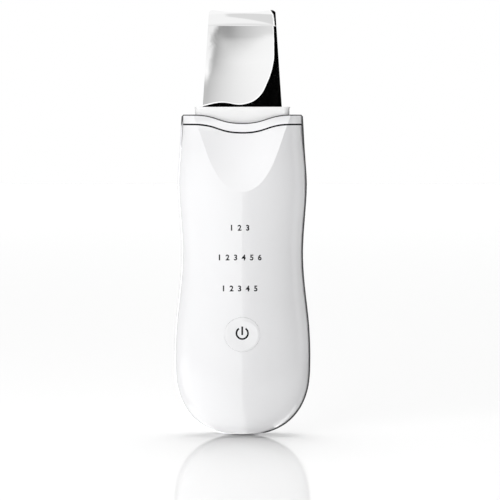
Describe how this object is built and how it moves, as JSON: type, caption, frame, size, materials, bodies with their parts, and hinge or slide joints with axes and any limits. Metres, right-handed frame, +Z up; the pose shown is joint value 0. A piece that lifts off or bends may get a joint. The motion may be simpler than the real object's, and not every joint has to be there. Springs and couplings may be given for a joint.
{
  "type": "skin scrubber",
  "caption": "Hand-held ultrasonic skin scrubber: waisted glossy white body with a wavy collar, a broad polished spatula blade with a bent tip, and a sprung power key.",
  "frame": {"origin": "under the middle of the rounded lower end, on the parting plane of the two shells", "axes": "+Z up the handle to the blade's tip, -Y out of the key side, +X to the right seen from the key side"},
  "size_m": [0.053, 0.0186, 0.165],
  "materials": {
    "shell_white": "high-gloss moulded white",
    "collar_pearl": "gloss pearl-white collar",
    "plated_trim": "mirror-plated hand electrode",
    "seal_dark": "dark satin gasket",
    "neck_grey": "light grey satin",
    "blade_steel": "mirror-polished stainless steel",
    "silicone_clear": "milky silicone",
    "silicone_grey": "soft grey silicone",
    "piezo_ceramic": "silvered ceramic disc",
    "frame_black": "fine-textured black",
    "screw_steel": "zinc-plated",
    "board_green": "solder-masked laminate",
    "cell_foil": "laminated foil pouch",
    "foam_grey": "open-cell foam",
    "lead_jacket": "insulated lead",
    "led_lens": "phosphor-coated lens",
    "chip_black": "moulded epoxy",
    "ferrite": "sintered ferrite",
    "winding_tape": "taped winding",
    "can_aluminium": "sleeved can",
    "socket_steel": "tin-plated",
    "contact_brass": "plated spring brass"
  },
  "bodies": {
    "body": {"front_shell": "shell_white", "rear_shell": "shell_white", "side_trim": "plated_trim", "collar_ring": "collar_pearl", "collar_seal": "seal_dark", "shell_seal": "seal_dark", "neck_housing": "neck_grey", "blade_seal": "silicone_clear", "blade": "blade_steel", "piezo_disc": "piezo_ceramic", "damper_front": "silicone_grey", "damper_rear": "silicone_grey", "transducer_clamp": "frame_black", "clamp_screws": "screw_steel", "key_seal": "silicone_grey", "tact_switch": "frame_black", "circuit_board": "board_green", "mid_frame": "frame_black", "frame_screws": "screw_steel", "board_screws": "screw_steel", "battery_cell": "cell_foil", "battery_foam": "foam_grey", "battery_leads": "lead_jacket", "led_shield": "frame_black", "mode_leds": "led_lens", "controller_chip": "chip_black", "transformer_core": "ferrite", "transformer_winding": "winding_tape", "capacitors": "can_aluminium", "inductor": "ferrite", "drive_transistors": "chip_black", "charge_board": "board_green", "charge_socket": "socket_steel", "socket_tongue": "frame_black", "charge_leads": "lead_jacket", "hand_contact": "contact_brass", "transducer_leads": "lead_jacket"},
    "key": {"power_key": "shell_white"},
    "plunger": {"switch_plunger": "frame_black"}
  },
  "joints": [
    {"name": "key_press", "type": "slide", "parent": "body", "child": "key", "axis": [0, 1, 0], "range_m": [0, 0.0003], "stiffness_N_per_m": 2000},
    {"name": "plunger_press", "type": "slide", "parent": "body", "child": "plunger", "axis": [0, 1, 0], "range_m": [0, 0.0003]}
  ],
  "couplings": [
    {"joint": "plunger_press", "follows": "key_press", "ratio": 1}
  ]
}
